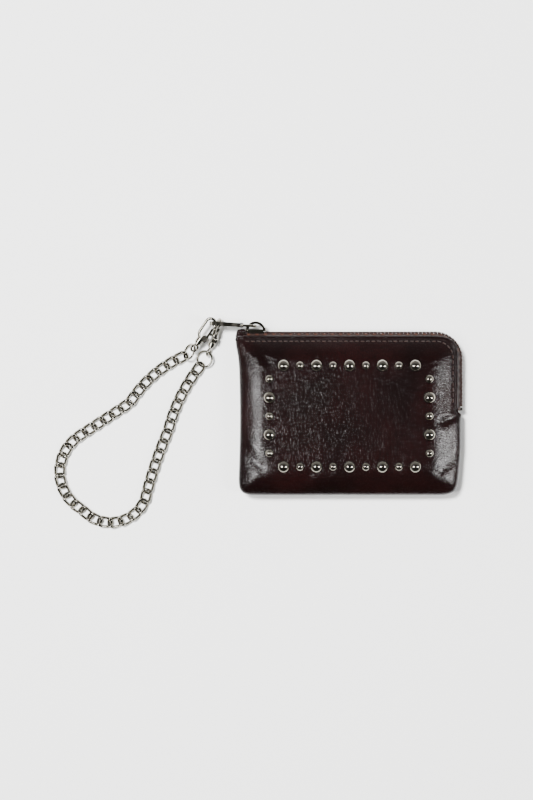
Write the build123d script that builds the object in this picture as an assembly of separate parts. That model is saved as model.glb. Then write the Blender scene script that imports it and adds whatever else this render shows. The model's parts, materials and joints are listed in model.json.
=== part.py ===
from build123d import *
import os
from math import acos, atan2, cos, degrees, hypot, radians, sin, sqrt, tan

# Studded leather zip wallet with a detachable chain strap, lying on its back.
# Millimetres. The origin is on the resting plane under the middle of the pouch,
# +X runs to the right along the zip, +Y points out of the zipped top, +Z is up.

# Pouch outline, seen from above, and its thickness
pouch_left = -59.0
pouch_right = 57.2
pouch_bottom = -43.6
pouch_top = 40.3
zip_corner_radius = 11.4
plain_corner_radius = 7.0
fold_corner_radius = 4.0
seam_height = 8.5
seam_half = 3.2
front_rise = 8.6
front_margin = 11.5
back_margin = 8.0
leather = 1.4
stud_back_room = 0.6
lining = 0.4

# Zip, measured outwards (u) from the leather's edge and up from the seam plane
zip_left = -57.0
zip_end = 1.3
tape_inset = 3.2
tape = 0.6
tape_reach = 1.9
tooth_pitch = 2.0
tooth_length = 1.05
tooth_depth = 1.1
tooth_height = 1.4
tooth_gap = 0.7
end_stop_length = 1.4
end_stop_height = 4.2
end_stop_gap = 0.1
top_stop_start = 0.6
top_stop_length = 0.9
top_stop_height = 2.0
tab_length = 2.3
tab_height = 5.2
tab_corner = 0.7
tab_gap = 0.05

# Stitching beside the zip
stitch_inset = 2.0
stitch_pitch = 2.9
stitch_length = 2.1
stitch_width = 0.5
stitch_height = 0.25
stitch_clearance = 0.01

# Studs: two sizes in turn round a rectangle
stud_left = -42.3
stud_right = 42.0
stud_top = 25.0
stud_bottom = -28.2
studs_across = 9
studs_down = 5
large_stud = 6.5
small_stud = 4.6
dome_ratio = 0.3
post_radius = 0.8
post_clearance = 0.05
stud_back = 0.5
stud_back_radius = 2.0

# Slider, with the arch that carries the pull
slider_x = -49.7
slider_length = 11.6
slider_half_width = 3.4
slider_plate = 0.95
slider_clearance = 0.15
inner_plate_half = 1.0
divider = 0.5
arch_rise = 4.3
arch_strip = 1.4
arch_width = 2.4
arch_inset = 0.6
plate_corner = 1.6
flange_depth = 1.0
flange_height = 0.9
flange_inset = 1.6
inner_plate = 0.8
inner_plate_sink = 0.45
inner_plate_inset = 0.5
divider_length = 2.0
divider_from_end = 2.2

# Pull: a wire link on the arch, and a flat bar with an eye
pull_rise = 1.8
pull_tilt = 3.4
link_wire = 0.65
link_half_width = 2.1
link_length = 7.5
bar_thickness = 2.2
bar_half_width = 4.5
knuckle_radius = 1.35
pin_clearance = 0.05
eye_along = 12.7
eye_wall = 1.3
link_corner = 1.2
neck_clearance = 0.25
waist_along = 2.4
waist_flare = 2.6
waist_half_width = 2.4
cheek = 1.0

# Trigger clasps, measured from the centre of the bow towards the swivel
hook_wire = 0.8
hook_half = 2.6
hook_tip = 0.9
spine_end = 7.4
barrel_start = 9.4
barrel_end = 12.6
barrel_radius = 1.9
spine_bend = 2.5
spine_overlap = 1.2
spine_seat = 0.4
cheek_start = 7.0
cheek_low = 0.2
cheek_length = 3.4
cheek_rise = 3.2
cheek_width = 3.0
cheek_corner = 0.8
slot_start = 6.0
slot_floor = 0.9
slot_length = 3.3
slot_rise = 4.0
slot_clearance = 0.2
head_back = 2.2
head_room_radius = 1.15
head_room_length = 1.2
head_radius = 1.05
head_length = 0.9
head_play = 0.15
shaft_length = 3.0
collar_radius = 1.3
collar_length = 0.7
knob_x = 4.9
knob_out = 0.75
knob_radius = 0.8
gate_eye_radius = 1.0
leaf_start = 6.9
leaf_low = 0.95
leaf_length = 2.1
leaf_thickness = 0.2
leaf_width = 1.0
gate_gap = 0.2
gate_pin_x = 8.2
gate_pin_y = 2.4
gate_pin_radius = 0.45
gate_width = 1.3
gate_thickness = 1.4
swivel_radius = 0.6
swivel_clearance = 0.05
swivel_eye_radius = 1.9
clasp_reach = 15.9
clasp_a_height = 9.6
swivel_a_height = 6.7
swivel_b_height = 3.3
clasp_b_roll = 72.0
clasp_b_back = 0.2

# Rings and chain
ring_radius = 4.25
ring_wire = 0.55
ring_a_tilt = 44.0
ring_b_tilt = 19.8
ring_seat = 0.6
link_pitch = 5.7
chain_wire = 0.75
chain_half_width = 3.1
chain_twist = 40.0
chain_bend = 2.0
chain_play = 0.3
chain_height = 1.85
strap_far = (-142.7, pouch_top - 92.1)
strap_half_spread = 12.7
strap_start = (-87.4, pouch_top - 9.5)
strap_left_bend = (-145.9, pouch_top - 53.7)
strap_low_bend = (-109.2, pouch_top - 87.7)
strap_finish = (-78.9, pouch_top - 14.5)
near_links = 7
left_links = 6
tip_links = 8
low_links = 7
rise_links = 7


def save(shape, name):
    """Writes one named sub-part."""
    export_step(shape, f"parts/{name}.step")


def group(solids):
    """Keeps several separate solids together as one sub-part."""
    return Compound(children=list(solids))


def lift(shape):
    """Moves a shape from the seam plane to its height above the resting plane."""
    return Pos(0, 0, seam_height) * shape


def flip(shape):
    """Mirrors a front piece, or each of its solids, through the seam plane to make its back twin."""
    twins = [mirror(solid, about=Plane.XY) for solid in shape.solids()]
    return twins[0] if len(twins) == 1 else group(twins)


def wire_loop(path, radius):
    """Round wire bent along a closed path."""
    section = Plane(path.position_at(0), z_dir=path.tangent_at(0)) * Circle(radius)
    return sweep(section, path=path)


# ---- Pouch ------------------------------------------------------------------


def outline(inset):
    """The pouch's plan, moved inwards by inset, with its own radius at each corner."""
    x0 = pouch_left + inset
    x1 = pouch_right - inset
    y0 = pouch_bottom + inset
    y1 = pouch_top - inset
    plain = max(plain_corner_radius - inset, 1.5)
    zipped = max(zip_corner_radius - inset, 1.5)
    folded = max(fold_corner_radius - inset, 1.5)
    edges = [
        Line((x0 + plain, y0), (x1 - plain, y0)),
        CenterArc((x1 - plain, y0 + plain), plain, 270, 90),
        Line((x1, y0 + plain), (x1, y1 - zipped)),
        CenterArc((x1 - zipped, y1 - zipped), zipped, 0, 90),
        Line((x1 - zipped, y1), (x0 + folded, y1)),
        CenterArc((x0 + folded, y1 - folded), folded, 90, 90),
        Line((x0, y1 - folded), (x0, y0 + plain)),
        CenterArc((x0 + plain, y0 + plain), plain, 180, 90),
    ]
    return Face(Wire(edges))


def crown(depth, rise, margin):
    """Solid under the surface that lies depth inside the pouch's skin, above the seam."""
    slope = atan2(rise - seam_half, margin)
    knee = seam_half - depth * (1 - sin(slope)) / cos(slope)
    top = rise - depth
    top_inset = (top - seam_half) / tan(slope) + depth / sin(slope)
    wall = extrude(outline(depth), knee)
    slopes = loft([Pos(0, 0, knee) * outline(depth), Pos(0, 0, top) * outline(top_inset)], ruled=True)
    return wall + slopes


def zip_channel():
    """Space along the zipped edges that the leather and lining leave open."""
    reach = tape_inset + 1.8
    ring = outline(-1.0) - outline(reach)
    y0 = pouch_top - reach
    y1 = pouch_top + 1.0
    x1 = pouch_right + 1.0
    x0 = pouch_right - zip_corner_radius
    top_run = Pos((zip_left + x1) / 2, (y0 + y1) / 2) * Rectangle(x1 - zip_left, y1 - y0)
    side_run = Pos((x0 + x1) / 2, (zip_end + y1) / 2) * Rectangle(x1 - x0, y1 - zip_end)
    return extrude(ring & (top_run + side_run), seam_half)


def skin(outer_depth, inner_depth, rise, margin):
    """One open shell of the pouch between two depths, cut away along the zip."""
    return crown(outer_depth, rise, margin) - crown(inner_depth, rise, margin) - zip_channel()


def zip_path(u):
    """Line along the zipped top, round the corner and down the side, u outside the leather."""
    corner_x = pouch_right - zip_corner_radius
    corner_y = pouch_top - zip_corner_radius
    radius = zip_corner_radius + u
    return Wire(
        [
            Line((zip_left, pouch_top + u), (corner_x, pouch_top + u)),
            CenterArc((corner_x, corner_y), radius, 90, -90),
            Line((pouch_right + u, corner_y), (pouch_right + u, zip_end)),
        ]
    )


def stations(u, pitch, start, stop_short):
    """Planes spaced by pitch along the zip, x along it and y outwards."""
    path = zip_path(u)
    count = int((path.length - start - stop_short) / pitch) + 1
    places = []
    for step in range(count):
        share = (start + step * pitch) / path.length
        tangent = path.tangent_at(share)
        places.append(Plane(path.position_at(share), x_dir=tangent, z_dir=(0, 0, 1)))
    return places


def zip_tape():
    """Folded tape: a flap sewn under the leather, then a slope out to the teeth."""
    plane = Plane(origin=(zip_left, pouch_top, 0), x_dir=(0, 1, 0), z_dir=(1, 0, 0))
    tooth_mid = (tooth_gap + tooth_height) / 2
    section = Polygon(
        (-tape_inset, seam_half - tape),
        (-tape_inset, seam_half),
        (0.25, seam_half),
        (tape_reach, tooth_mid + tape / 2),
        (tape_reach, tooth_mid - tape / 2),
        (0.0, seam_half - tape),
        align=None,
    )
    return sweep(plane * section, path=zip_path(0))


def zip_teeth(start):
    """A row of separate teeth outside the tape, above the seam plane."""
    tooth = Box(tooth_length, tooth_depth, tooth_height, align=(Align.CENTER, Align.MIN, Align.MIN))
    tooth = Pos(0, 0, tooth_gap / 2) * tooth
    return group(place * tooth for place in stations(tape_reach, tooth_pitch, start, 2.5))


def zip_stops():
    """Metal stops at both ends: one on each tape at the start, one across both at the end."""
    y0 = pouch_top + tape_reach
    upper = Box(top_stop_length, tooth_depth, top_stop_height, align=Align.MIN)
    upper = Pos(zip_left + top_stop_start, y0, tooth_gap / 2) * upper
    lower = flip(upper)
    x0 = pouch_right + tape_reach
    corner = (Align.MIN, Align.MIN, Align.CENTER)
    end = Box(tooth_depth, end_stop_length, end_stop_height, align=corner)
    end = Pos(x0, zip_end + end_stop_gap, 0) * end
    return group([upper, lower, end])


def zip_end_tab():
    """Folded tab that closes the start of the zip."""
    block = Box(tab_length, tape_reach + tooth_depth, tab_height, align=(Align.MAX, Align.MIN, Align.CENTER))
    block = fillet(block.edges().filter_by(Axis.Z), tab_corner)
    return Pos(zip_left - tab_gap, pouch_top, 0) * block


def topstitch(rise, margin):
    """Separate stitches lying on the leather beside the zip."""
    slope = atan2(rise - seam_half, margin)
    height = seam_half + stitch_inset * tan(slope) + stitch_clearance
    stitch = Box(stitch_length, stitch_width, stitch_height, align=(Align.CENTER, Align.CENTER, Align.MIN))
    tilted = Pos(0, 0, height) * Rot(-degrees(slope), 0, 0) * stitch
    return group(place * tilted for place in stations(-stitch_inset, stitch_pitch, 4.0, 3.0))


# ---- Studs ------------------------------------------------------------------


def stud_places():
    """Centres of the large and of the small studs, in turn round the rectangle."""
    large = []
    small = []
    across = (stud_right - stud_left) / (studs_across + 0.69)
    middle_x = (stud_left + stud_right) / 2
    for row_y in (stud_top, stud_bottom):
        for i in range(studs_across):
            x = middle_x + (i - (studs_across - 1) / 2) * across
            (small if i % 2 else large).append((x, row_y))
    down = (stud_top - stud_bottom) / (studs_down + 0.43)
    middle_y = (stud_top + stud_bottom) / 2
    for column_x in (stud_left, stud_right):
        for j in range(studs_down):
            y = middle_y + (j - (studs_down - 1) / 2) * down
            (large if j % 2 else small).append((column_x, y))
    return large, small


def stud(size):
    """A dome with a post on its flat side, which lies at z = 0."""
    rise = size * dome_ratio
    ball = ((size / 2) ** 2 + rise**2) / (2 * rise)
    dome = Pos(0, 0, rise - ball) * Sphere(ball)
    dome = dome & Box(size * 2, size * 2, rise * 2, align=(Align.CENTER, Align.CENTER, Align.MIN))
    post_length = leather + stud_back_room
    post = Cylinder(post_radius, post_length, align=(Align.CENTER, Align.CENTER, Align.MAX))
    return dome + post


def stud_washer():
    """Back plate that the post is spread over, under the leather."""
    top = front_rise - leather
    plate = Cylinder(stud_back_radius, stud_back, align=(Align.CENTER, Align.CENTER, Align.MAX))
    hole = Cylinder(post_radius + post_clearance, stud_back * 2 + 1)
    return Pos(0, 0, top) * (plate - hole)


def post_holes(places):
    """Cylinders that clear the posts through the leather."""
    hole = Cylinder(post_radius + post_clearance, leather * 4)
    return [Pos(x, y, front_rise) * hole for x, y in places]


# ---- Slider and pull --------------------------------------------------------


def slider():
    """Two plates joined by the divider between the teeth, with side flanges and the arch."""
    outer_u = tape_reach + tooth_depth + slider_clearance
    y0 = pouch_top + outer_u
    inner_top = tape_reach - inner_plate_sink
    low = (Align.CENTER, Align.MIN, Align.CENTER)
    high = (Align.CENTER, Align.MAX, Align.CENTER)
    plate = Pos(0, y0, 0) * Box(slider_length, slider_plate, 2 * slider_half_width, align=low)
    plate = fillet(plate.edges().filter_by(Axis.Y), plate_corner)
    body = plate
    for side in (1, -1):
        z = side * (slider_half_width - flange_height / 2)
        flange = Box(slider_length - 2 * flange_inset, flange_depth, flange_height, align=high)
        body += Pos(0, y0, z) * flange
    inner = Box(slider_length - 2 * inner_plate_inset, inner_plate, 2 * inner_plate_half, align=high)
    body += Pos(0, pouch_top + inner_top, 0) * inner
    post = Box(divider_length, outer_u - inner_top, divider, align=low)
    body += Pos(divider_from_end - slider_length / 2, pouch_top + inner_top, 0) * post
    foot = slider_length / 2 - arch_inset
    top = y0 + slider_plate
    arch = Line((foot, top), (-foot, top)) + ThreePointArc((-foot, top), (0, top + arch_rise), (foot, top))
    hollow_foot = foot - arch_strip
    hollow_top = top + arch_rise - arch_strip
    hollow = Line((hollow_foot, top), (-hollow_foot, top))
    hollow += ThreePointArc((-hollow_foot, top), (0, hollow_top), (hollow_foot, top))
    strip = extrude(make_face(arch) - make_face(hollow), arch_width / 2, both=True)
    return Pos(slider_x, 0, 0) * (body + strip)


def pull_axis():
    """Point on the pull's hinge axis, which is the wire link's inner bar."""
    y = pouch_top + tape_reach + tooth_depth + slider_clearance + slider_plate + pull_rise
    return Vector(slider_x, y, 0)


def pull_frame(along):
    """Frame on the pull, x towards its eye, y up through its width and z across its faces."""
    outwards = Vector(-cos(radians(pull_tilt)), sin(radians(pull_tilt)), 0)
    return Plane(pull_axis() + outwards * along, x_dir=outwards, z_dir=(outwards.Y, -outwards.X, 0))


def pull_link():
    """Closed wire loop: one end bar under the arch, the other in the bar's knuckle."""
    w = link_half_width
    corners = [(0, -w), (0, w), (link_length, w), (link_length, -w)]
    path = FilletPolyline(*corners, radius=link_corner, close=True)
    return pull_frame(0) * wire_loop(path, link_wire)


def pull_bar():
    """Flat teardrop bar with a knuckle round the link and an eye at its far end."""
    hole = bar_half_width - eye_wall
    neck = link_half_width - link_wire - neck_clearance
    flare = waist_along + waist_flare
    shoulder = eye_along - waist_along
    outer = bar_half_width - cheek
    blade = Polygon(
        (0, -neck),
        (waist_along, -neck),
        (flare, -waist_half_width),
        (shoulder, -outer),
        (shoulder, outer),
        (flare, waist_half_width),
        (waist_along, neck),
        (0, neck),
        align=None,
    )
    blade += Pos(eye_along, 0) * Circle(bar_half_width)
    blade -= Pos(eye_along, 0) * Circle(hole)
    flat = extrude(blade, bar_thickness / 2, both=True)
    knuckle = Rot(90, 0, 0) * Cylinder(knuckle_radius, 2 * neck)
    bore = Rot(90, 0, 0) * Cylinder(link_wire + pin_clearance, 2 * bar_half_width)
    return pull_frame(link_length) * (flat + knuckle - bore)


# ---- Clasps -----------------------------------------------------------------


def hook_body():
    """Bent hook, the barrel that holds the swivel and the cheeks that hold the gate."""
    tip = Line((hook_tip, hook_half), (0, hook_half))
    bow = CenterArc((0, 0), hook_half, 90, 180)
    seat = (barrel_start + spine_overlap, -spine_seat)
    spine = FilletPolyline((0, -hook_half), (spine_end, -hook_half), seat, radius=spine_bend)
    path = Wire([tip, bow, *spine.edges()])
    section = Plane(origin=(hook_tip, hook_half, 0), z_dir=(-1, 0, 0)) * Circle(hook_wire)
    wire = sweep(section, path=path)
    wire += Pos(hook_tip, hook_half, 0) * Sphere(hook_wire)
    along = (Align.CENTER, Align.CENTER, Align.MIN)
    corner = (Align.MIN, Align.MIN, Align.CENTER)
    turn = Rot(0, 90, 0)
    barrel = Pos(barrel_start, 0, 0) * turn * Cylinder(barrel_radius, barrel_end - barrel_start, align=along)
    cheeks = Pos(cheek_start, cheek_low, 0) * Box(cheek_length, cheek_rise, cheek_width, align=corner)
    cheeks = fillet(cheeks.edges().filter_by(Axis.Z), cheek_corner)
    slot = Box(slot_length, slot_rise, gate_thickness + slot_clearance, align=corner)
    slot = Pos(slot_start, slot_floor, 0) * slot
    pin_hole = Pos(gate_pin_x, gate_pin_y, 0) * Cylinder(gate_pin_radius, 2 * cheek_width)
    room_start = Pos(barrel_end - head_back, 0, 0)
    head_room = room_start * turn * Cylinder(head_room_radius, head_room_length, align=along)
    bore = room_start * turn * Cylinder(swivel_radius + swivel_clearance, shaft_length, align=along)
    return wire + barrel + cheeks - slot - pin_hole - head_room - bore


def gate_pin():
    """Rivet across the cheeks."""
    return Pos(gate_pin_x, gate_pin_y, 0) * Cylinder(gate_pin_radius, cheek_width)


def gate():
    """Sprung bar that closes the hook, with a thumb knob on its outer side."""
    start = hook_tip + hook_wire + gate_gap
    length = gate_pin_x - start
    arm = Box(length, gate_width, gate_thickness, align=(Align.MIN, Align.CENTER, Align.CENTER))
    arm = Pos(start, hook_half, 0) * arm
    eye = Pos(gate_pin_x, gate_pin_y, 0) * Cylinder(gate_eye_radius, gate_thickness)
    knob = Pos(knob_x, hook_half + knob_out, 0) * Cylinder(knob_radius, gate_thickness)
    bore = Pos(gate_pin_x, gate_pin_y, 0) * Cylinder(gate_pin_radius + pin_clearance, 2 * cheek_width)
    return arm + eye + knob - bore


def gate_spring():
    """Thin leaf in the bottom of the slot."""
    leaf = Box(leaf_length, leaf_thickness, leaf_width, align=(Align.MIN, Align.MIN, Align.CENTER))
    return Pos(leaf_start, leaf_low, 0) * leaf


def swivel():
    """Headed shaft in the barrel, with a collar and a ring-shaped eye."""
    along = (Align.CENTER, Align.CENTER, Align.MIN)
    turn = Rot(0, 90, 0)
    head_start = Pos(barrel_end - head_back + head_play, 0, 0)
    head = head_start * turn * Cylinder(head_radius, head_length, align=along)
    shaft = head_start * turn * Cylinder(swivel_radius, shaft_length, align=along)
    collar = Pos(barrel_end + head_play, 0, 0) * turn * Cylinder(collar_radius, collar_length, align=along)
    eye = Pos(clasp_reach, 0, 0) * Torus(swivel_eye_radius, swivel_radius)
    return head + shaft + collar + eye


# ---- Where the strap hangs, turns and lies ----------------------------------


def clasp_hinge():
    """Upright axis in the eye of the pull, about which both clasps swing."""
    return pull_frame(link_length + eye_along + 1.3).origin


def knees():
    """The two chain joints that make a rhombus with the eye and the strap's far joint."""
    eye = clasp_hinge()
    far = Vector(*strap_far)
    along = Vector(far.X - eye.X, far.Y - eye.Y, 0).normalized()
    across = Vector(along.Y, -along.X, 0)
    middle = Vector((far.X + eye.X) / 2, (far.Y + eye.Y) / 2, 0)
    return middle + across * strap_half_spread, middle - across * strap_half_spread


def chain_arc(start, end, count, side):
    """Joints of count equal links bent evenly from start to end, to the left for side 1."""
    span = hypot(end[0] - start[0], end[1] - start[1])
    low = 1e-6
    high = radians(355 / count)
    for _ in range(60):
        turn = (low + high) / 2
        if link_pitch * sin(count * turn / 2) / sin(turn / 2) > span:
            low = turn
        else:
            high = turn
    heading = atan2(end[1] - start[1], end[0] - start[0]) - side * (count - 1) * turn / 2
    joints = [Vector(start[0], start[1])]
    for _ in range(count):
        joints.append(joints[-1] + Vector(cos(heading), sin(heading)) * link_pitch)
        heading += side * turn
    return joints


def chain_link():
    """Twisted curb link: its two end bars lean opposite ways about its long axis."""
    half = (link_pitch + 2 * chain_wire + chain_play) / 2
    lean = radians(chain_twist)
    y = chain_half_width * cos(lean)
    z = chain_half_width * sin(lean)
    path = FilletPolyline((0, y, 0), (half, y, z), (half, -y, -z), (0, -y, 0), radius=chain_bend)
    section = Plane(path.position_at(0), z_dir=path.tangent_at(0)) * Circle(chain_wire)
    bend = sweep(section, path=path)
    return bend + Rot(0, 0, 180) * bend


def chain_span(joints):
    """Separate links, one between each pair of neighbouring joints."""
    link = chain_link()
    links = []
    for a, b in zip(joints, joints[1:]):
        middle = (a + b) / 2
        heading = degrees(atan2(b.Y - a.Y, b.X - a.X))
        links.append(Pos(middle.X, middle.Y, chain_height) * Rot(0, 0, heading) * link)
    return group(links)


def circles_meet(a, radius_a, b, radius_b, side):
    """The point at the two distances from a and b, on the left of a to b for side 1."""
    dx = b.X - a.X
    dy = b.Y - a.Y
    gap = hypot(dx, dy)
    swing = side * acos((gap**2 + radius_a**2 - radius_b**2) / (2 * gap * radius_a))
    heading = atan2(dy, dx) + swing
    return Vector(a.X + radius_a * cos(heading), a.Y + radius_a * sin(heading), 0)


def swivel_eye_centre(bow, ring_end, height, side):
    """Where a clasp of fixed reach and a ring of fixed size meet at the given height."""
    reach = sqrt(clasp_reach**2 - (bow.Z - height) ** 2)
    ring = sqrt((2 * ring_radius) ** 2 - (height - ring_end.Z) ** 2)
    eye = circles_meet(bow, reach, ring_end, ring, side)
    return Vector(eye.X, eye.Y, height)


def ring_frame(near, far, tilt):
    """Frame of a ring through two opposite points, leaning by tilt about their line."""
    along = (far - near).normalized()
    level = Vector(-along.Y, along.X, 0).normalized()
    tangent = level * cos(radians(tilt)) + along.cross(level) * sin(radians(tilt))
    return Plane((near + far) / 2, x_dir=along, z_dir=along.cross(tangent)), tangent


def clasp_frame(bow, eye, roll):
    """Frame of a clasp: x from bow to swivel, y to the gate, rolled about x from level."""
    along = (eye - bow).normalized()
    level = Vector(-along.Y, along.X, 0).normalized()
    upright = along.cross(level)
    gate_side = level * cos(radians(roll)) + upright * sin(radians(roll))
    return Plane(bow, x_dir=along, z_dir=along.cross(gate_side))


def swivel_frame(bow, eye, tangent):
    """Frame of a swivel, with its eye square to the ring that runs through it."""
    along = (eye - bow).normalized()
    normal = tangent - along * tangent.dot(along)
    return Plane(bow, x_dir=along, z_dir=normal.normalized())


def strap_spans():
    """Joint points of the four chain spans: near and far on side a, then far and near on side b."""
    knee_a, knee_b = knees()
    near_a = chain_arc(strap_start, (knee_a.X, knee_a.Y), near_links, 1)
    far_a = chain_arc((knee_a.X, knee_a.Y), strap_left_bend, left_links, 1)
    far_a += chain_arc(strap_left_bend, strap_far, tip_links, 1)[1:]
    far_b = chain_arc(strap_far, strap_low_bend, low_links, 1)
    far_b += chain_arc(strap_low_bend, (knee_b.X, knee_b.Y), rise_links, -1)[1:]
    near_b = chain_arc((knee_b.X, knee_b.Y), strap_finish, near_links, -1)
    return near_a, far_a, far_b, near_b


def clasp_places():
    """Each clasp's name with its own frame, its swivel's frame and its ring's frame."""
    near_a, _, _, near_b = strap_spans()
    wall = bar_half_width - eye_wall / 2
    side_wall = sqrt(wall**2 - (clasp_a_height - seam_height) ** 2)
    bow_a = pull_frame(link_length + eye_along + side_wall).origin
    bow_b = pull_frame(link_length + eye_along - clasp_b_back).origin
    bow_a = Vector(bow_a.X, bow_a.Y, clasp_a_height)
    bow_b = Vector(bow_b.X, bow_b.Y, seam_height - wall)
    places = []
    for name, bow, end, height, tilt, roll in (
        ("a", bow_a, near_a[:2], swivel_a_height, ring_a_tilt, 0.0),
        ("b", bow_b, near_b[:-3:-1], swivel_b_height, ring_b_tilt, clasp_b_roll),
    ):
        seat = end[0] + (end[1] - end[0]).normalized() * ring_seat
        far = Vector(seat.X, seat.Y, chain_height)
        eye = swivel_eye_centre(bow, far, height, 1)
        ring, tangent = ring_frame(eye, far, tilt)
        places.append((name, clasp_frame(bow, eye, roll), swivel_frame(bow, eye, tangent), ring))
    return places


def main():
    """Builds every sub-part and writes it."""
    os.makedirs("parts", exist_ok=True)

    large, small = stud_places()
    holes = post_holes(large + small)
    front = skin(0, leather, front_rise, front_margin)
    front -= [Part() + hole for hole in holes]
    back_rise = seam_height
    under = leather + stud_back_room
    save(lift(front), "front_panel")
    save(lift(flip(skin(0, leather, back_rise, back_margin))), "back_panel")
    save(lift(skin(under, under + lining, front_rise, front_margin)), "front_lining")
    save(lift(flip(skin(under, under + lining, back_rise, back_margin))), "back_lining")
    save(lift(zip_tape()), "zip_tape_front")
    save(lift(flip(zip_tape())), "zip_tape_back")
    save(lift(zip_teeth(2.5)), "zip_teeth_front")
    save(lift(flip(zip_teeth(2.5 + tooth_pitch / 2))), "zip_teeth_back")
    save(lift(zip_stops()), "zip_stops")
    save(lift(zip_end_tab()), "zip_end_tab")
    save(lift(topstitch(front_rise, front_margin)), "topstitch_front")
    save(lift(flip(topstitch(back_rise, back_margin))), "topstitch_back")
    for name, places, size in (("large", large, large_stud), ("small", small, small_stud)):
        save(lift(group(Pos(x, y, front_rise) * stud(size) for x, y in places)), f"studs_{name}")
        save(lift(group(Pos(x, y, 0) * stud_washer() for x, y in places)), f"stud_backs_{name}")

    save(lift(slider()), "slider")
    save(lift(pull_link()), "pull_link")
    save(lift(pull_bar()), "pull_bar")

    near_a, far_a, far_b, near_b = strap_spans()
    save(chain_span(near_a), "chain_a_near")
    save(chain_span(far_a), "chain_a_far")
    save(chain_span(far_b), "chain_b_far")
    save(chain_span(near_b), "chain_b_near")

    for name, frame, swivel_place, ring_place in clasp_places():
        save(frame * hook_body(), f"hook_{name}")
        save(frame * gate(), f"gate_{name}")
        save(frame * gate_pin(), f"gate_pin_{name}")
        save(frame * gate_spring(), f"gate_spring_{name}")
        save(swivel_place * swivel(), f"swivel_{name}")
        save(ring_place * Torus(ring_radius, ring_wire), f"ring_{name}")
    knee_a, knee_b = knees()
    print("pull", pull_axis(), "bar", pull_frame(link_length).origin, "eye", clasp_hinge())
    print("knees", knee_a, knee_b, "far joint", strap_far)


main()
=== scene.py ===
# %% [markdown]
# # A studded leather zip wallet with a chain strap
#
# The wallet is a puffed leather pouch with a zip along its top and round one corner, a frame of domed studs,
# and a curb chain that two trigger clasps hook onto the zip's pull. The engineering model arrives first as a
# fixed frame. It already has every hard piece at its true size, so the work here is what such a model cannot
# hold: soft leather, thread, woven tape, and the finish of every surface.

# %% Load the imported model
import bmesh
import bpy
import json
import numpy as np
from math import pi, radians
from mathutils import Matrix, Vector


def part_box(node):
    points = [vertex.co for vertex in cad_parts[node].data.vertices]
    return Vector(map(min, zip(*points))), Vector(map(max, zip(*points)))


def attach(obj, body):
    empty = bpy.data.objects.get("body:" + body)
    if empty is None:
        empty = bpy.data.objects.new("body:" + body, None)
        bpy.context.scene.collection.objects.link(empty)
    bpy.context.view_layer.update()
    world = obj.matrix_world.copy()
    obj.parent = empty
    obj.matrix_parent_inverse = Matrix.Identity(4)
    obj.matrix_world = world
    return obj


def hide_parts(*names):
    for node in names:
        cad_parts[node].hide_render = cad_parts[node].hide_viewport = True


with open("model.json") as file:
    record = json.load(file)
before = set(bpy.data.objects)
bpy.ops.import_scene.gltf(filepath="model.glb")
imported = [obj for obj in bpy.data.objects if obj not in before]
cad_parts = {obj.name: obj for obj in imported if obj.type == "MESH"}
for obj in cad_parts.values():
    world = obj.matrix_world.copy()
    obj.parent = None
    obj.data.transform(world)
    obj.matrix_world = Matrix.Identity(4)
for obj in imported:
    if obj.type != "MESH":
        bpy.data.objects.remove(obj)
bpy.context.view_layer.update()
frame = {"nodes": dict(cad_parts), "record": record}
nodes = frame["nodes"]
MM = 0.001

# %% [markdown]
# ## The camera
#
# The wallet lies flat and is seen from straight above. A long lens keeps the chain and the pouch at nearly the
# same scale. The camera's height follows from the lens, the sensor and the height of the field that it takes in.

# %% Camera
FIELD_HEIGHT = 425.5 * MM        # how much of the table the picture's longer side takes in
FIELD_CENTRE = (-43.9 * MM, 6.9 * MM)
LENS = 85.0                      # millimetres, with the 36 mm sensor on the longer side
SENSOR = 36.0
MIDDLE_HEIGHT = 8.5 * MM         # the height on the wallet at which that field is measured

camera_data = bpy.data.cameras.new("camera")
camera_data.lens = LENS
camera_data.sensor_width = SENSOR
camera = bpy.data.objects.new("camera", camera_data)
camera.location = (*FIELD_CENTRE, MIDDLE_HEIGHT + FIELD_HEIGHT * LENS / SENSOR)
bpy.context.scene.collection.objects.link(camera)
bpy.context.scene.camera = camera
print("the camera is", round(camera.location.z, 3), "m up")

# %% [markdown]
# ## Floor and light
#
# Polished metal and glossy leather show what surrounds them, so the light matters more than the colours. Two
# large soft boxes stand low on the left and the right, which puts a highlight on each side of every stud and
# along the pouch's slopes. The space overhead is left dim, so that the flat middle of the leather stays dark.

# %% A function that turns paint-chart colours into linear ones
def linear(code):
    """sRGB hex to linear RGBA: each channel c is ((c + 0.055) / 1.055) ** 2.4, or c / 12.92 when dark."""
    c = np.array([int(code[i : i + 2], 16) for i in (1, 3, 5)]) / 255
    rgb = np.where(c <= 0.04045, c / 12.92, ((c + 0.055) / 1.055) ** 2.4)
    return (*rgb.tolist(), 1.0)


# %% A function that adds one node
def add(tree, kind, links=None, **settings):
    """Adds a node of a kind, sets its properties or inputs by name, and links inputs from other sockets."""
    node = tree.nodes.new(kind)
    for key, value in settings.items():
        if hasattr(node, key):
            setattr(node, key, value)
        else:
            node.inputs[key.replace("_", " ")].default_value = value
    for key, socket in (links or {}).items():
        tree.links.new(socket, node.inputs[key])
    return node


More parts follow.
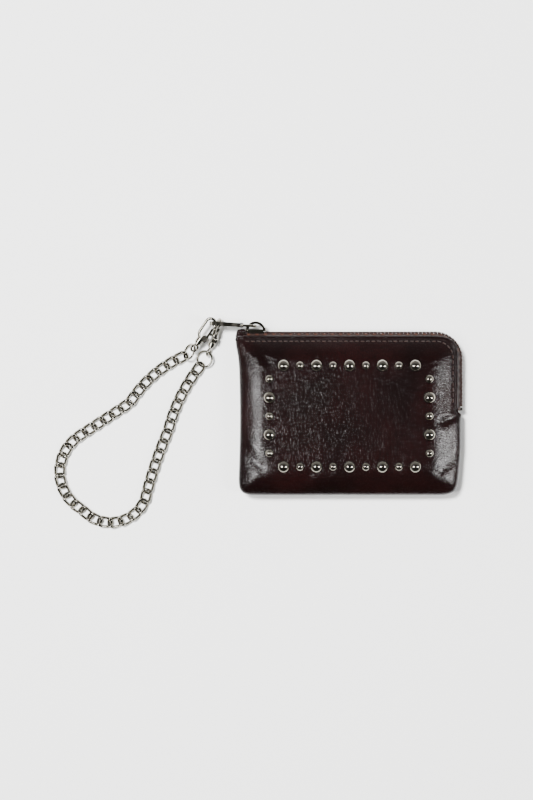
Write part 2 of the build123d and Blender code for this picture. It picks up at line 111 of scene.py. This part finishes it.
# %% Floor
floor_mesh = bpy.data.meshes.new("floor")
FLOOR_HALF = 3.0
corners = [(FLOOR_HALF * x, FLOOR_HALF * y, 0) for x, y in ((-1, -1), (1, -1), (1, 1), (-1, 1))]
floor_mesh.from_pydata(corners, [], [(0, 1, 2, 3)])
floor = bpy.data.objects.new("floor", floor_mesh)
bpy.context.scene.collection.objects.link(floor)
paper = bpy.data.materials.new("matt_backdrop_paper")
paper.use_nodes = True
paper_shader = paper.node_tree.nodes["Principled BSDF"]
paper_shader.inputs["Base Color"].default_value = linear("#f1f1f0")
paper_shader.inputs["Roughness"].default_value = 0.85
paper_shader.inputs["Specular IOR Level"].default_value = 0.2
floor_mesh.materials.append(paper)

# %% Soft boxes
def soft_box(name, place, target, size, power):
    """A rectangular light at a place, turned to face a target."""
    data = bpy.data.lights.new(name, "AREA")
    data.shape = "RECTANGLE"
    data.size = size[0]
    data.size_y = size[1]
    data.energy = power
    lamp = bpy.data.objects.new(name, data)
    lamp.location = place
    aim = lamp.location.copy()
    aim.x -= target[0]
    aim.y -= target[1]
    aim.z -= target[2]
    lamp.rotation_euler = aim.to_track_quat("Z", "Y").to_euler()
    bpy.context.scene.collection.objects.link(lamp)
    return lamp


soft_box("left_box", (-0.66, -0.12, 1.3), (0, 0, 0), (0.18, 0.6), 13.0)
soft_box("right_box", (1.0, -0.2, 1.15), (0, 0, 0), (0.18, 0.6), 13.0)
key = soft_box("key_box", (-0.5, 0.4, 1.7), (0, 0, 0), (0.3, 0.3), 112.0)
key.visible_glossy = False       # it lights the table and stays out of reflections, by choice of look

world = bpy.data.worlds.new("studio")
bpy.context.scene.world = world
world.use_nodes = True
sky = world.node_tree
way_up = add(sky, "ShaderNodeSeparateXYZ", {"Vector": add(sky, "ShaderNodeTexCoord").outputs["Generated"]})
away = add(sky, "ShaderNodeMath", {0: way_up.outputs["Y"], 2: way_up.outputs["Z"]}, operation="MULTIPLY_ADD")
away.inputs[1].default_value = -0.5      # the far side of the room is the brighter one
walls = add(sky, "ShaderNodeValToRGB", {"Fac": away.outputs[0]})
walls.color_ramp.elements[0].position = 0.0
walls.color_ramp.elements[0].color = linear("#b4b4b4")
walls.color_ramp.elements[1].position = 0.75
walls.color_ramp.elements[1].color = linear("#3c3c39")
sky.links.new(walls.outputs["Color"], sky.nodes["Background"].inputs["Color"])
sky.nodes["Background"].inputs["Strength"].default_value = 1.0

# %% [markdown]
# ## Finishes
#
# Each finish is a procedural material. Its patterns are measured in real millimetres: a texture's scale is one
# over the size of its cell in metres, because every object here is in metres.

# %% Pattern scale from a real size
def per(millimetres):
    """Texture scale that repeats once in so many millimetres."""
    return 1.0 / (millimetres * MM)


def new_material(name, **inputs):
    """A material with the standard shader, its inputs set, and its place on the piece ready for patterns."""
    material = bpy.data.materials.new(name)
    material.use_nodes = True
    tree = material.node_tree
    shader = tree.nodes["Principled BSDF"]
    for key, value in inputs.items():
        shader.inputs[key.replace("_", " ")].default_value = value
    place = add(tree, "ShaderNodeTexCoord").outputs["Object"]
    return material, tree, shader, place


# %% [markdown]
# **Crackled glazed calf leather.** The hide is dyed dark burgundy and finished with a hard clear glaze, then
# crumpled, so the glaze breaks into small flat plates. Each plate mirrors the light a little differently. A
# cell pattern gives the plates, its borders the creases between them, and a clear coat gives the glaze.

# %% Glazed leather
GRAIN_CELL = 1.2         # mm, plates of the crackle
PORE = 0.45              # mm, hair pores between them
FOLD = 9.0               # mm, soft folds drawn down the middle of the panels

leather, tree, shader, place = new_material(
    "crackled_glazed_calf_leather",
    IOR=1.5,
    Specular_IOR_Level=0.05,
    Coat_Weight=0.8,
    Coat_Roughness=0.15,
    Coat_IOR=1.5,
)
warp = add(tree, "ShaderNodeTexNoise", {"Vector": place}, Scale=per(4.0), Detail=3.0)
warp_size = add(tree, "ShaderNodeVectorMath", {0: warp.outputs["Color"]}, operation="SCALE")
warp_size.inputs["Scale"].default_value = 1.2 * MM
bent = add(tree, "ShaderNodeVectorMath", {0: place, 1: warp_size.outputs[0]}, operation="ADD").outputs[0]
plates = add(tree, "ShaderNodeTexVoronoi", {"Vector": bent}, feature="DISTANCE_TO_EDGE", Scale=per(GRAIN_CELL))
crease = add(tree, "ShaderNodeMapRange", {"Value": plates.outputs["Distance"]}, From_Min=0.0, From_Max=0.16)
small = add(tree, "ShaderNodeTexNoise", {"Vector": bent}, Scale=per(PORE), Detail=4.0, Roughness=0.6)
stretch = add(tree, "ShaderNodeMapping", {"Vector": place}, Scale=(1.0, 0.28, 1.0))
folds = add(tree, "ShaderNodeTexNoise", {"Vector": stretch.outputs[0]}, Scale=per(FOLD), Detail=2.0, Distortion=0.6)
fade = add(tree, "ShaderNodeTexNoise", {"Vector": place}, Scale=per(22.0), Detail=3.0)
dye = add(tree, "ShaderNodeValToRGB", {"Fac": fade.outputs["Fac"]})
dye.color_ramp.elements[0].position = 0.35
dye.color_ramp.elements[0].color = linear("#080202")
dye.color_ramp.elements[1].position = 0.7
dye.color_ramp.elements[1].color = linear("#150505")
# Painted shade: the base colour darkens to near black in the creases between the glaze plates, where shade falls.
crease_shade = add(tree, "ShaderNodeMix", {"Factor": crease.outputs[0]}, data_type="RGBA")
crease_shade.inputs[6].default_value = linear("#070202")      # the colour in a crease
tree.links.new(dye.outputs["Color"], crease_shade.inputs[7])
tree.links.new(crease_shade.outputs[2], shader.inputs["Base Color"])
gloss = add(tree, "ShaderNodeMapRange", {"Value": small.outputs["Fac"]}, To_Min=0.45, To_Max=0.62)
tree.links.new(gloss.outputs[0], shader.inputs["Roughness"])
fold_bump = add(tree, "ShaderNodeBump", {"Height": folds.outputs["Fac"]}, Strength=0.2, Distance=0.9 * MM)
plate_bump = add(
    tree,
    "ShaderNodeBump",
    {"Height": crease.outputs[0], "Normal": fold_bump.outputs[0]},
    Strength=0.32,
    Distance=0.1 * MM,
)
pore_bump = add(
    tree,
    "ShaderNodeBump",
    {"Height": small.outputs["Fac"], "Normal": plate_bump.outputs[0]},
    Strength=0.3,
    Distance=0.09 * MM,
)
tree.links.new(pore_bump.outputs[0], shader.inputs["Normal"])
tree.links.new(pore_bump.outputs[0], shader.inputs["Coat Normal"])

# %% [markdown]
# **Polished nickel plate.** Nickel is a warm grey mirror. Handling leaves faint smears, so its roughness
# wanders a little. **Spring steel** is colder and duller, as it comes from the rolling mill.

# %% Metals
nickel, tree, shader, place = new_material(
    "polished_nickel_plate",
    Metallic=1.0,
    Base_Color=linear("#98948a"),
)
smear = add(tree, "ShaderNodeTexNoise", {"Vector": place}, Scale=per(2.5), Detail=4.0)
dull = add(tree, "ShaderNodeMapRange", {"Value": smear.outputs["Fac"]}, To_Min=0.06, To_Max=0.16)
tree.links.new(dull.outputs[0], shader.inputs["Roughness"])
scuff = add(tree, "ShaderNodeTexNoise", {"Vector": place}, Scale=per(0.7), Detail=2.0)
scuff_bump = add(tree, "ShaderNodeBump", {"Height": scuff.outputs["Fac"]}, Strength=0.12, Distance=0.05 * MM)
tree.links.new(scuff_bump.outputs[0], shader.inputs["Normal"])

spring_steel, tree, shader, place = new_material(
    "rolled_spring_steel",
    Metallic=1.0,
    Base_Color=linear("#9a9a9a"),
)
grain = add(tree, "ShaderNodeTexNoise", {"Vector": place}, Scale=per(0.4), Detail=2.0)
dull = add(tree, "ShaderNodeMapRange", {"Value": grain.outputs["Fac"]}, To_Min=0.25, To_Max=0.4)
tree.links.new(dull.outputs[0], shader.inputs["Roughness"])

# %% [markdown]
# **Woven cloth.** The zip's tape is a tight herringbone of polyester and the lining a plain weave. Two crossed
# wave patterns, multiplied, give the over and under of the threads. The real threads are too fine to show, so
# they are drawn about twice as coarse.

# %% Woven cloth
def woven(name, thread, dark, light, sheen):
    """Cloth whose height is the product of two crossed waves, one thread apart."""
    cloth, tree, shader, place = new_material(name, Roughness=0.85, Sheen_Weight=sheen, Sheen_Roughness=0.4)
    turn = add(tree, "ShaderNodeMapping", {"Vector": place}, Rotation=(0.0, 0.0, radians(45)))
    waves = [
        add(tree, "ShaderNodeTexWave", {"Vector": turn.outputs[0]}, bands_direction=way, Scale=per(thread) / 20.0)
        for way in ("X", "Y")
    ]
    over = add(tree, "ShaderNodeMath", {0: waves[0].outputs["Fac"], 1: waves[1].outputs["Fac"]}, operation="MULTIPLY")
    colour = add(tree, "ShaderNodeValToRGB", {"Fac": over.outputs[0]})
    colour.color_ramp.elements[0].color = linear(dark)
    colour.color_ramp.elements[1].color = linear(light)
    tree.links.new(colour.outputs["Color"], shader.inputs["Base Color"])
    bump = add(tree, "ShaderNodeBump", {"Height": over.outputs[0]}, Strength=0.6, Distance=thread * MM)
    tree.links.new(bump.outputs[0], shader.inputs["Normal"])
    return cloth


tape = woven("woven_polyester_zip_tape", 0.5, "#1c0e0b", "#452a20", 0.3)
lining = woven("plain_woven_lining", 0.6, "#120d0d", "#332828", 0.2)

# %% [markdown]
# **Moulded zip teeth** are dyed acetal, satin from the mould. **Sewing thread** is a bonded two-ply twist that
# shines a little where each ply crowns.

# %% Teeth and thread
teeth, tree, shader, place = new_material("satin_moulded_acetal", Base_Color=linear("#22110d"), IOR=1.48)
speck = add(tree, "ShaderNodeTexNoise", {"Vector": place}, Scale=per(0.3), Detail=2.0)
dull = add(tree, "ShaderNodeMapRange", {"Value": speck.outputs["Fac"]}, To_Min=0.3, To_Max=0.5)
tree.links.new(dull.outputs[0], shader.inputs["Roughness"])

thread, tree, shader, place = new_material("bonded_two_ply_thread", Roughness=0.6, Sheen_Weight=0.1)
turn = add(tree, "ShaderNodeMapping", {"Vector": place}, Rotation=(0.0, 0.0, radians(35)))
ply = add(tree, "ShaderNodeTexWave", {"Vector": turn.outputs[0]}, Scale=per(0.7) / 20.0, Distortion=1.5)
colour = add(tree, "ShaderNodeValToRGB", {"Fac": ply.outputs["Fac"]})
colour.color_ramp.elements[0].color = linear("#180d0a")
colour.color_ramp.elements[1].color = linear("#281812")
tree.links.new(colour.outputs["Color"], shader.inputs["Base Color"])
bump = add(tree, "ShaderNodeBump", {"Height": ply.outputs["Fac"]}, Strength=0.5, Distance=0.15 * MM)
tree.links.new(bump.outputs[0], shader.inputs["Normal"])

finishes = {
    "leather": leather,
    "lining": lining,
    "tape": tape,
    "teeth": teeth,
    "thread": thread,
    "nickel": nickel,
    "spring_steel": spring_steel,
}

# %% [markdown]
# ## Finish the hard pieces
#
# The chain, the clasps, the rings, the slider and the pull keep their own meshes. Each only takes the finish
# that the record names for it.

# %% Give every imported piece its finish
slot_of = {row["node"]: row["material_slot"] for row in frame["record"]["subparts"]}
for name, piece in nodes.items():
    piece.data.materials.clear()
    piece.data.materials.append(finishes[slot_of[name]])
print("finished", len(slot_of), "packed pieces")

# %% [markdown]
# ## The leather panels
#
# A pillow of leather has a nearly flat middle, a slope of constant width all round it, and soft ridges that
# run in from the corners, where two slopes meet. A plain grid can be bent into that. The grid's square rings
# are squeezed into rounded ones, and a profile says how high each ring lies. It needs no poles and no seams.

# %% Sizes of the pouch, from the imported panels
low, high = (np.array(corner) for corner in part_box("front_panel"))
back_low, back_high = (np.array(corner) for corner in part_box("back_panel"))
SEAM_Z = float(low[2])                       # height of the seam between the panels
FRONT_RISE = float(high[2]) - SEAM_Z
BACK_RISE = SEAM_Z - float(back_low[2])
CENTRE = (low[:2] + high[:2]) / 2
HALF = (high[:2] - low[:2]) / 2
EDGE_WALL = 3.2 * MM                         # height of the pouch's upright edge, each side of the seam
CORNER = 21.0 * MM                           # how far a corner reaches along its two sides
ZIP_CORNER = 11.4 * MM
ZIP_END_Y = 1.3 * MM                         # where the zip stops on the right side
print("pouch", np.round(2 * HALF / MM, 1), "mm, seam at", round(SEAM_Z / MM, 2), "mm")


# %% [markdown]
# The ring that a point lies on is the p-norm of its distance into the corner: with p = 2 the corner would be a
# circle as large as the whole slope, and with p = 7 it is as tight as a small pouch's. The zipped corner is
# rounder, so p falls there.

# %% Rings of the pillow
def corner_power(x, y):
    """7 at plain corners, 4.8 at the corner that the zip goes round, 16 at the zip's folded start."""
    right = 1 / (1 + np.exp(-(x - CENTRE[0]) / (12 * MM)))
    top = 1 / (1 + np.exp(-(y - CENTRE[1]) / (12 * MM)))
    return 7.0 - 2.2 * right * top + 9.0 * (1 - right) * top


def into_corner(x, y):
    """How far a point is past the inner rectangle, along x and along y, and never below zero."""
    ax = np.maximum(np.abs(x - CENTRE[0]) - HALF[0] + CORNER, 0)
    ay = np.maximum(np.abs(y - CENTRE[1]) - HALF[1] + CORNER, 0)
    return ax, ay


def edge_distance(x, y):
    """Distance in from the outline: the corner's reach less the p-norm of the distance into the corner."""
    ax, ay = into_corner(x, y)
    p = corner_power(x, y)
    return CORNER - (ax**p + ay**p + 1e-30) ** (1 / p)


# %% [markdown]
# The leather is not perfectly regular. It is creased beside the end of the zip, and its slopes have slow dents
# where the pouch was squeezed.

# %% Creases and dents
def crease_line(x, y, start, end, width):
    """1 along the line from start to end, falling off as a bell on both sides and past its ends."""
    ux, uy = end[0] - start[0], end[1] - start[1]
    length = np.hypot(ux, uy)
    along = np.clip(((x - start[0]) * ux + (y - start[1]) * uy) / length**2, 0, 1)
    away = np.hypot(x - start[0] - along * ux, y - start[1] - along * uy)
    return np.exp(-((away / width) ** 2))


RIGHT, TOP = float(high[0]), float(high[1])
LEFT, BOTTOM = float(low[0]), float(low[1])
CREASES = (
    ((RIGHT + 1 * MM, ZIP_END_Y - 1 * MM), (RIGHT - 8 * MM, ZIP_END_Y - 6 * MM), 2.0 * MM, 0.75 * MM),
    ((RIGHT - 2 * MM, BOTTOM + 20 * MM), (RIGHT - 10 * MM, BOTTOM + 12 * MM), 2.5 * MM, 0.4 * MM),
    ((LEFT + 3 * MM, BOTTOM + 24 * MM), (LEFT + 12 * MM, BOTTOM + 15 * MM), 3.0 * MM, 0.45 * MM),
    ((LEFT + 6 * MM, TOP - 5 * MM), (LEFT + 16 * MM, TOP - 13 * MM), 2.4 * MM, 0.35 * MM),
    ((LEFT + 30 * MM, BOTTOM + 4 * MM), (LEFT + 38 * MM, BOTTOM + 11 * MM), 3.0 * MM, 0.3 * MM),
)


def dents(x, y, distance):
    """Depth of creases and slow dents, only on the slopes: sines of uneven lengths under a bell."""
    on_slope = np.exp(-(((distance - 7 * MM) / (5 * MM)) ** 2))
    waves = np.sin(x / (6.1 * MM) + 1.3 * np.sin(y / (11 * MM))) + np.sin(y / (5.3 * MM) + 1.7 * np.sin(x / (13 * MM)))
    depth = on_slope * 0.16 * MM * waves
    for start, end, width, deep in CREASES:
        depth = depth + deep * crease_line(x, y, start, end, width)
    return depth


def beside_zip(x, y):
    """1 along the zipped top and the right side down to the zip's end, 0 elsewhere, with a short change."""
    near_top = 1 / (1 + np.exp(-(y - (TOP - 3.0 * MM)) / (0.5 * MM)))
    near_right = 1 / (1 + np.exp(-(x - (RIGHT - 3.0 * MM)) / (0.5 * MM)))
    above_end = 1 / (1 + np.exp(-(y - ZIP_END_Y) / (0.35 * MM)))
    return np.clip(near_top + near_right * above_end, 0, 1)


# %% Height of the leather over the seam
LIP = 0.9 * MM           # the leather's turned edge, which stands up at once
LIP_ROUND = 0.7 * MM
SEWN_GROOVE = 0.25 * MM
SEWN_INSET = 2.4 * MM    # how far the stitches lie in from the leather's edge
STUD_SEAT = 0.1 * MM     # the studs press the leather down a little below their rims


def pillow_height(x, y, rise, margin, marks):
    """Edge wall, a rounded lip, then a slope that flattens evenly: rise is 1 - (1 - distance / margin) ** 2."""
    distance = np.maximum(edge_distance(x, y), 0)
    lip = LIP * (1 - np.exp(-distance / LIP_ROUND))
    slope = 1 - (1 - np.minimum(distance / margin, 1)) ** 2
    flat = rise - EDGE_WALL - LIP
    groove = SEWN_GROOVE * np.exp(-(((distance - SEWN_INSET) / (0.5 * MM)) ** 2)) * beside_zip(x, y)
    return EDGE_WALL + lip + flat * slope - groove - marks * (dents(x, y, distance) + STUD_SEAT)


# %% [markdown]
# Beyond the grid's outermost slope come a few more rings, which go down the upright edge to the seam and tuck
# in under it. Along the zip that wall is missing, because the leather ends above the tape, so the rings stop
# at the tape's height there.

# %% Grid of a panel
GRID = 0.7 * MM
WALL_ROWS = 6
TUCK = 0.9 * MM


def panel_points(rise, margin, marks):
    """Grid of points: square rings become p-norm rings, and rings past the outline go down the wall."""
    reach = WALL_ROWS * GRID
    nx = int(round(2 * (HALF[0] + reach) / GRID))
    ny = int(round(2 * (HALF[1] + reach) / GRID))
    across = np.linspace(-HALF[0] - reach, HALF[0] + reach, nx)
    up = np.linspace(-HALF[1] - reach, HALF[1] + reach, ny)
    gx, gy = np.meshgrid(across, up)
    ax = np.maximum(np.abs(gx) - HALF[0] + CORNER, 0)
    ay = np.maximum(np.abs(gy) - HALF[1] + CORNER, 0)
    ring = np.maximum(ax, ay)
    past = np.clip((ring - CORNER) / reach, 0, 1)
    inset = TUCK * past**2
    p = corner_power(gx + CENTRE[0], gy + CENTRE[1])
    norm = (ax**p + ay**p + 1e-30) ** (1 / p)
    target = np.minimum(ring, CORNER) - inset
    scale = np.where(ring > 0, target / np.maximum(norm, 1e-9), 1.0)
    inner_x = np.minimum(np.abs(gx), HALF[0] - CORNER)
    inner_y = np.minimum(np.abs(gy), HALF[1] - CORNER)
    x = CENTRE[0] + np.sign(gx) * (inner_x + ax * scale)
    y = CENTRE[1] + np.sign(gy) * (inner_y + ay * scale)
    z = pillow_height(x, y, rise, margin, marks)
    floor_z = EDGE_WALL * beside_zip(x, y)
    z = np.where(past > 0, floor_z + (EDGE_WALL - floor_z) * (1 - past), z)
    return np.stack([x + sideways(x, y), y, z], axis=-1)


def sideways(x, y):
    """The left edge is drawn in at its middle and flares at the zip's start; the right side swells below the zip."""
    near_left = np.exp(-((x - LEFT) / (9 * MM)) ** 2)
    near_right = np.exp(-((x - RIGHT) / (6 * MM)) ** 2)
    waist = 1.0 * MM * np.cos(np.clip((y - CENTRE[1]) / (2 * HALF[1]) * pi, -pi / 2, pi / 2))
    flare = 1.6 * MM * np.exp(-(((y - TOP) / (9 * MM)) ** 2))
    step = 2.0 * MM / (1 + np.exp((y - ZIP_END_Y + 1.2 * MM) / (0.5 * MM)))
    fall = np.clip((y - BOTTOM) / (25 * MM), 0, 1)
    return near_left * (waist - flare) + near_right * step * fall


def add_grid(name, points, flip=False):
    """Mesh of quads over a grid of points."""
    rows, columns = points.shape[:2]
    index = np.arange(rows * columns).reshape(rows, columns)
    quads = np.stack([index[:-1, :-1], index[:-1, 1:], index[1:, 1:], index[1:, :-1]], axis=-1).reshape(-1, 4)
    if flip:
        quads = quads[:, ::-1]
    mesh = bpy.data.meshes.new(name)
    mesh.from_pydata(points.reshape(-1, 3).tolist(), [], quads.tolist())
    mesh.shade_smooth()
    piece = bpy.data.objects.new(name, mesh)
    bpy.context.scene.collection.objects.link(piece)
    return piece


def finish_piece(piece, slot, body, *replaced):
    """Gives a piece its finish and its body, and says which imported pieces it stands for."""
    piece.data.materials.clear()
    piece.data.materials.append(finishes[slot])
    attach(piece, body)
    if replaced:
        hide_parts(*replaced)
    print(piece.name, len(piece.data.polygons), "faces")


# %% Front and back panels
LEATHER = 1.0 * MM
FRONT_SLOPE = 15.5 * MM   # how far in the front keeps rising
BACK_SLOPE = 10.0 * MM

front_points = panel_points(FRONT_RISE, FRONT_SLOPE, 1.0)
front_points[..., 2] += SEAM_Z
front = add_grid("front_leather", front_points)
back_points = panel_points(BACK_RISE, BACK_SLOPE, 0.0)
back_points[..., 2] = SEAM_Z - back_points[..., 2]
back = add_grid("back_leather", back_points, flip=True)
for piece, node in ((front, "front_panel"), (back, "back_panel")):
    shell = piece.modifiers.new("thickness", "SOLIDIFY")
    shell.thickness = LEATHER
    shell.offset = -1.0
    finish_piece(piece, "leather", "pouch", node)

# %% [markdown]
# ## Stitches
#
# The leather is sewn to the zip's tape with heavy thread. Each visible stitch is a short length of thread that
# sinks into the leather at both ends, so it is a capsule whose middle stands a little proud. The line of
# stitches follows the zip: straight along the top, a quarter circle round the corner, and down the side.

# %% The zip's line
def zip_line(length, inset):
    """Points and directions at distances along the zip's line, inset from the leather's edge."""
    straight = (RIGHT - ZIP_CORNER) - LEFT
    radius = ZIP_CORNER - inset
    arc = radius * pi / 2
    angle = np.clip((length - straight) / radius, 0, pi / 2)
    run = np.minimum(length, straight)
    drop = np.maximum(length - straight - arc, 0)
    x = LEFT + run + radius * np.sin(angle)
    y = TOP - ZIP_CORNER + radius * np.cos(angle) - drop
    return np.stack([x, y], -1), np.stack([np.cos(angle), -np.sin(angle)], -1)


# %% Stitches
STITCH_PITCH = 2.9 * MM
STITCH = 2.3 * MM
THREAD = 0.32 * MM       # radius of the thread
FIRST = 5.0 * MM
STITCHES = 58


def stitch_row(name, height_at, side, node):
    """Capsules along the zip: radius shrinks as the fourth root at the ends, and the ends dip into the leather."""
    distance = FIRST + STITCH_PITCH * np.arange(STITCHES)
    middle, way = zip_line(distance, SEWN_INSET)
    keep = middle[:, 1] > ZIP_END_Y + 3 * MM
    middle, way = middle[keep], way[keep]
    t = np.linspace(-1, 1, 11)
    turn = np.linspace(0, 2 * pi, 9)[:-1]
    radius = THREAD * (1 - t**4) ** 0.5
    along = middle[:, None, :] + way[:, None, :] * (t * STITCH / 2)[None, :, None]
    height = height_at(along[..., 0], along[..., 1])
    rise = 0.12 * MM - 0.35 * MM * t**4
    outward = np.stack([-way[:, 1], way[:, 0]], -1)
    ring_x = radius[:, None] * np.cos(turn)[None, :]
    ring_z = radius[:, None] * np.sin(turn)[None, :]
    xy = along[:, :, None, :] + outward[:, None, None, :] * ring_x[None, :, :, None]
    z = SEAM_Z + side * (height + rise[None, :])[:, :, None] + side * ring_z[None]
    points = np.concatenate([xy, z[..., None]], -1)
    count, rings, sides = points.shape[:3]
    index = np.arange(count * rings * sides).reshape(count, rings, sides)
    nxt = np.roll(index, -1, axis=2)
    quads = np.stack([index[:, :-1], nxt[:, :-1], nxt[:, 1:], index[:, 1:]], -1).reshape(-1, 4)
    mesh = bpy.data.meshes.new(name)
    mesh.from_pydata(points.reshape(-1, 3).tolist(), [], quads.tolist())
    clean(mesh)
    mesh.shade_smooth()
    piece = bpy.data.objects.new(name, mesh)
    bpy.context.scene.collection.objects.link(piece)
    finish_piece(piece, "thread", "pouch", node)
    print(count, "stitches")


def clean(mesh):
    """Merges points that coincide and turns every face outwards."""
    work = bmesh.new()
    work.from_mesh(mesh)
    bmesh.ops.remove_doubles(work, verts=work.verts, dist=0.002 * MM)
    bmesh.ops.recalc_face_normals(work, faces=work.faces)
    work.to_mesh(mesh)
    work.free()


stitch_row("front_stitches", lambda x, y: pillow_height(x, y, FRONT_RISE, FRONT_SLOPE, 1.0), 1, "topstitch_front")
stitch_row("back_stitches", lambda x, y: pillow_height(x, y, BACK_RISE, BACK_SLOPE, 0.0), -1, "topstitch_back")

# %% [markdown]
# ## Softened edges
#
# Nothing moulded or folded has a knife edge, and a rounded edge is what catches the light. The teeth and the
# stops are copies of their imported meshes with a small bevel.

# %% Bevelled copies
def softened(node, name, width, body):
    """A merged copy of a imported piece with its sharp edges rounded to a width."""
    mesh = nodes[node].data.copy()
    mesh.name = name
    clean(mesh)
    piece = bpy.data.objects.new(name, mesh)
    bpy.context.scene.collection.objects.link(piece)
    bevel = piece.modifiers.new("rounded edges", "BEVEL")
    bevel.width = width
    bevel.segments = 2
    bevel.limit_method = "ANGLE"
    bevel.angle_limit = radians(40)
    finish_piece(piece, slot_of[node], body, node)


softened("zip_teeth_front", "front_teeth", 0.22 * MM, "pouch")
softened("zip_teeth_back", "back_teeth", 0.22 * MM, "pouch")
softened("zip_stops", "stops", 0.2 * MM, "pouch")

# %% [markdown]
# The zip's start is closed by a scrap of the same leather, folded over the tape ends and pinched flat. It is a
# rounded block: a ball whose cosines and sines are raised to a low power, with a groove where it is folded.

# %% Folded leather at the zip's start
TAB_HALF = (3.0 * MM, 2.7 * MM, 2.7 * MM)
TAB_PLACE = (LEFT + 1.9 * MM, TOP + 1.7 * MM, SEAM_Z)
BLOCKY = 0.5             # 1 is a ball, 0 is a box


def powered(wave):
    """A cosine or sine with its sign kept and its size raised to a low power, which squares a circle."""
    return np.sign(wave) * np.abs(wave) ** BLOCKY


def tab_points():
    """Superellipsoid: x and y go round with the longitude, z goes up with the latitude, less a fold groove."""
    around, up = np.meshgrid(np.linspace(0, 2 * pi, 65), np.linspace(-pi / 2, pi / 2, 33))
    x = powered(np.cos(up)) * powered(np.cos(around))
    y = powered(np.cos(up)) * powered(np.sin(around))
    z = powered(np.sin(up))
    pinch = 1 - 0.22 * np.exp(-(((y - 0.1) / 0.18) ** 2)) + 0.06 * np.sin(5 * x + 2)
    lean = 0.25 * y
    places = (x * (1 - 0.12 * y) + lean * 0.3, y, z * pinch)
    return np.stack([TAB_PLACE[i] + TAB_HALF[i] * places[i] for i in range(3)], axis=-1)


tab = add_grid("folded_tab", tab_points())
clean(tab.data)
tab.data.shade_smooth()
finish_piece(tab, "leather", "pouch", "zip_end_tab")
